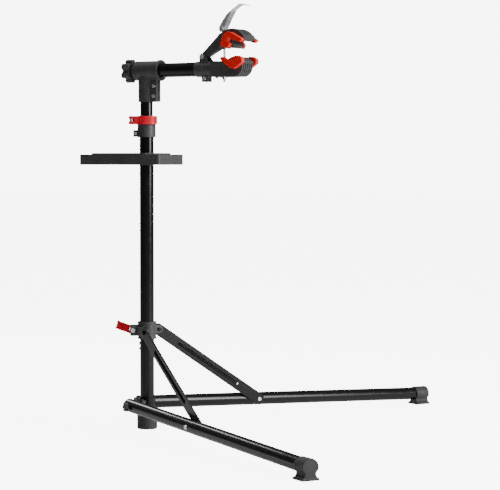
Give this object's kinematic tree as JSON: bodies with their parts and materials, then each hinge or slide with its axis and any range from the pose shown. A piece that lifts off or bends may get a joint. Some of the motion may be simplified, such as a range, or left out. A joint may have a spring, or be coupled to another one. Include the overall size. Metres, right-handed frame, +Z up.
{
  "type": "bicycle repair stand",
  "caption": "Folding bicycle work stand: telescopic mast on two strutted folding legs, tool tray, quick release collars and a turning arm with a cam clamp.",
  "frame": {"origin": "middle of the mast foot's underside, on the floor", "axes": "+X along the clamp arm from the mast, +Z up the mast, +Y to the left of the arm; the legs' middle line is turned 17 degrees from +X towards +Y"},
  "size_m": [1.0197, 1.4754, 1.1363],
  "materials": {
    "black_paint": "gloss",
    "black_plastic": "satin",
    "black_rubber": "matte",
    "red_plastic": "satin",
    "red_rubber": "matte",
    "chrome_steel": "polished",
    "zinc_steel": "satin"
  },
  "bodies": {
    "root": {"mast_tube": "black_paint", "mast_foot": "black_rubber", "leg_bracket": "black_paint", "bracket_bolt": "zinc_steel", "leg_pivot_bolts": "zinc_steel", "leg_pivot_knobs": "black_plastic", "hub_stop_rivets": "zinc_steel", "mast_collar": "black_plastic", "collar_bolt": "zinc_steel", "collar_clamp_bolt": "zinc_steel", "mast_bushing": "black_plastic"},
    "right_leg": {"right_leg_tube": "black_paint", "right_leg_plug": "black_rubber", "right_foot": "black_rubber", "right_leg_bolt": "zinc_steel"},
    "left_leg": {"left_leg_tube": "black_paint", "left_leg_plug": "black_rubber", "left_foot": "black_rubber", "left_leg_bolt": "zinc_steel"},
    "hub": {"slide_hub": "black_plastic", "hub_strut_bolts": "black_paint", "hub_clamp_bolt": "zinc_steel"},
    "hub_lever": {"hub_lever": "red_plastic", "hub_lever_pin": "zinc_steel"},
    "right_strut": {"right_strut": "black_paint", "right_strut_studs": "black_paint"},
    "left_strut": {"left_strut": "black_paint", "left_strut_studs": "zinc_steel"},
    "collar_lever": {"collar_lever": "red_plastic", "collar_lever_pin": "zinc_steel"},
    "tray": {"tool_tray": "black_plastic", "tray_screw": "black_plastic"},
    "guide": {"guide_bush": "black_plastic"},
    "head": {"inner_mast": "black_paint", "head_casting": "black_plastic", "head_bolts": "zinc_steel", "arm_bushings": "black_plastic"},
    "arm": {"arm_tube": "black_paint", "arm_end_plug": "zinc_steel", "lower_jaw": "black_plastic", "pinch_bolt": "zinc_steel", "lower_jaw_pads": "red_rubber", "jaw_pin": "zinc_steel", "jaw_screw": "zinc_steel"},
    "knob": {"arm_knob": "black_plastic"},
    "upper_jaw": {"upper_jaw": "black_plastic", "upper_jaw_pads": "red_rubber"},
    "cam_lever": {"cam_lever": "chrome_steel", "cam_pin": "zinc_steel"},
    "rod": {"clamp_rod": "zinc_steel"},
    "nut": {"clamp_nut": "zinc_steel"}
  },
  "joints": [
    {"name": "hub_slide", "type": "slide", "parent": "root", "child": "hub", "axis": [0, 0, 1], "range_m": [0, 0.405]},
    {"name": "right_leg_fold", "type": "hinge", "parent": "root", "child": "right_leg", "pos_m": [-0.00245, -0.06025, 0.06595], "axis": [-0.5, -0.866, 0], "range_deg": [-0.1, 52.11]},
    {"name": "right_strut_fold", "type": "hinge", "parent": "hub", "child": "right_strut", "pos_m": [0.02905, -0.05568, 0.266], "axis": [-0.5, -0.866, 0], "range_deg": [-25.86, 0.1]},
    {"name": "left_leg_fold", "type": "hinge", "parent": "root", "child": "left_leg", "pos_m": [-0.03572, 0.04858, 0.06595], "axis": [0.8988, -0.4384, 0], "range_deg": [-0.1, 52.11]},
    {"name": "left_strut_fold", "type": "hinge", "parent": "hub", "child": "left_strut", "pos_m": [-0.00706, 0.06241, 0.266], "axis": [0.8988, -0.4384, 0], "range_deg": [-25.86, 0.1]},
    {"name": "hub_lever_turn", "type": "hinge", "parent": "hub", "child": "hub_lever", "pos_m": [-0.0413, -0.01391, 0.268], "axis": [0.2296, 0.2068, 0.9511], "range_deg": [-62, 0]},
    {"name": "collar_lever_turn", "type": "hinge", "parent": "root", "child": "collar_lever", "pos_m": [-0.02475, -0.03587, 0.835], "axis": [0, 0, 1], "range_deg": [-125, 0]},
    {"name": "tray_turn", "type": "hinge", "parent": "root", "child": "tray", "pos_m": [0, 0, 0.728], "axis": [0, 0, 1], "continuous": true},
    {"name": "mast_height", "type": "slide", "parent": "root", "child": "guide", "axis": [0, 0, 1], "range_m": [-0.03, 0.6]},
    {"name": "mast_swivel", "type": "hinge", "parent": "guide", "child": "head", "pos_m": [0, 0, 0.5], "axis": [0, 0, 1], "continuous": true},
    {"name": "arm_turn", "type": "hinge", "parent": "head", "child": "arm", "pos_m": [0, 0, 0.968], "axis": [1, 0, 0], "continuous": true},
    {"name": "knob_turn", "type": "hinge", "parent": "arm", "child": "knob", "pos_m": [-0.05, 0, 0.968], "axis": [1, 0, 0], "continuous": true},
    {"name": "jaw_close", "type": "hinge", "parent": "arm", "child": "upper_jaw", "pos_m": [0.187, 0, 1.001], "axis": [0, 1, 0], "range_deg": [-3, 13]},
    {"name": "cam_turn", "type": "hinge", "parent": "upper_jaw", "child": "cam_lever", "pos_m": [0.247, 0, 1.072], "axis": [0, 1, 0], "range_deg": [0, 45]},
    {"name": "rod_swing", "type": "hinge", "parent": "upper_jaw", "child": "rod", "pos_m": [0.247, 0, 1.072], "axis": [0, 1, 0], "range_deg": [-5.1, 1.2]},
    {"name": "nut_run", "type": "slide", "parent": "rod", "child": "nut", "axis": [0, 0, 1], "range_m": [-0.0031, 0.0134]}
  ],
  "couplings": [
    {"joint": "right_leg_fold", "follows": "hub_slide", "rad_per_m": 2.2435},
    {"joint": "left_leg_fold", "follows": "hub_slide", "rad_per_m": 2.2435},
    {"joint": "right_strut_fold", "follows": "hub_slide", "rad_per_m": -1.1121},
    {"joint": "left_strut_fold", "follows": "hub_slide", "rad_per_m": -1.1121},
    {"joint": "rod_swing", "follows": "jaw_close", "ratio": -0.388},
    {"joint": "nut_run", "follows": "jaw_close", "m_per_rad": 0.0585}
  ]
}
